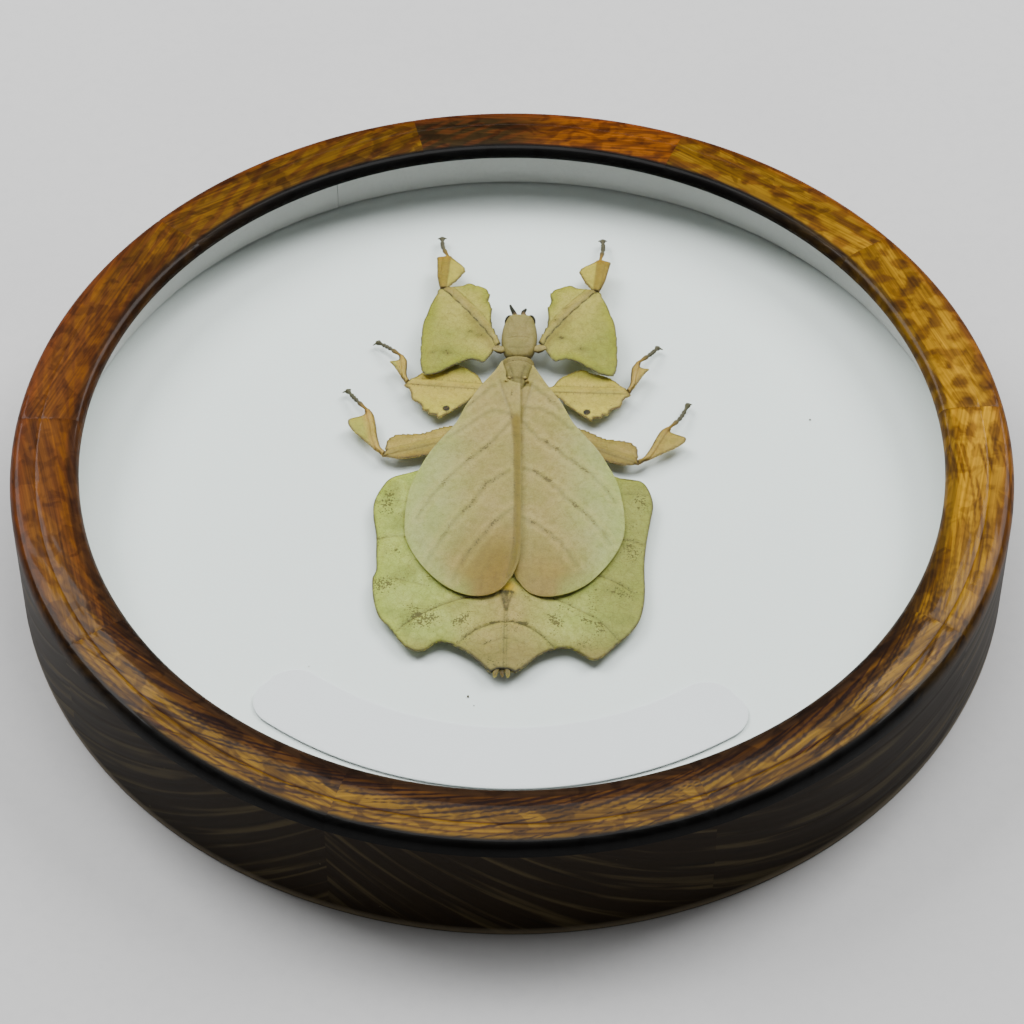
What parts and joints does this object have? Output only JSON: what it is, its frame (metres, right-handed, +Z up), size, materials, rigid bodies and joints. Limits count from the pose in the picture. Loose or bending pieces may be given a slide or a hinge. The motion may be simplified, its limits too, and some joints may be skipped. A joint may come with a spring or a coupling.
{
  "type": "mounted leaf insect",
  "caption": "Leaf insect with leaf-like body and legs, set behind glass in a round wooden box frame that lies on its back, over a bare curved label.",
  "frame": {"origin": "middle of the round frame's underside, on the surface that it lies on", "axes": "+Z up out of the glass, +Y to where the insect's head points, +X to the insect's right"},
  "size_m": [0.173, 0.173, 0.024],
  "materials": {
    "stained_wood": "segments of stained hardwood under clear gloss lacquer, golden on the face and near black on the side",
    "glass": "clear flat picture glass",
    "lining": "matt white card strip",
    "board": "smooth matt white foam board",
    "back_panel": "plain hardboard",
    "label": "bare matt white paper",
    "body_shell": "dry beige cuticle with a fine grain",
    "eyes": "dark brown, slightly glossy",
    "feelers_and_feet": "dark grey-olive cuticle",
    "abdomen_leaf": "leaf green with fine veins and brown speckles, slightly translucent",
    "forewing": "khaki leathery wing with raised veins, slightly translucent",
    "green_lobes": "yellow-green leaf-like lobes with thin brown margins",
    "yellow_lobes": "tan to yellow leaf-like lobes with olive margins"
  },
  "bodies": {
    "root": {"frame_ring": "stained_wood", "glass_pane": "glass", "lining_ring": "lining", "backing_board": "board", "back_panel": "back_panel", "label": "label", "head": "body_shell", "pronotum": "body_shell", "mesothorax": "body_shell", "metathorax": "body_shell", "eye_left": "eyes", "eye_right": "eyes", "antenna_left": "feelers_and_feet", "antenna_right": "feelers_and_feet", "abdomen": "abdomen_leaf", "abdomen_tip": "abdomen_leaf", "tegmen_left": "forewing", "tegmen_right": "forewing", "coxa_front_left": "body_shell", "coxa_front_right": "body_shell", "coxa_middle_left": "body_shell", "coxa_middle_right": "body_shell", "coxa_hind_left": "body_shell", "coxa_hind_right": "body_shell", "femur_front_left": "green_lobes", "femur_front_right": "green_lobes", "femur_middle_left": "yellow_lobes", "femur_middle_right": "yellow_lobes", "femur_hind_left": "yellow_lobes", "femur_hind_right": "yellow_lobes", "tibia_front_left": "yellow_lobes", "tibia_front_right": "yellow_lobes", "tibia_middle_left": "yellow_lobes", "tibia_middle_right": "yellow_lobes", "tibia_hind_left": "yellow_lobes", "tibia_hind_right": "yellow_lobes", "tarsus_front_left": "feelers_and_feet", "tarsus_front_right": "feelers_and_feet", "tarsus_middle_left": "feelers_and_feet", "tarsus_middle_right": "feelers_and_feet", "tarsus_hind_left": "feelers_and_feet", "tarsus_hind_right": "feelers_and_feet"}
  },
  "joints": []
}
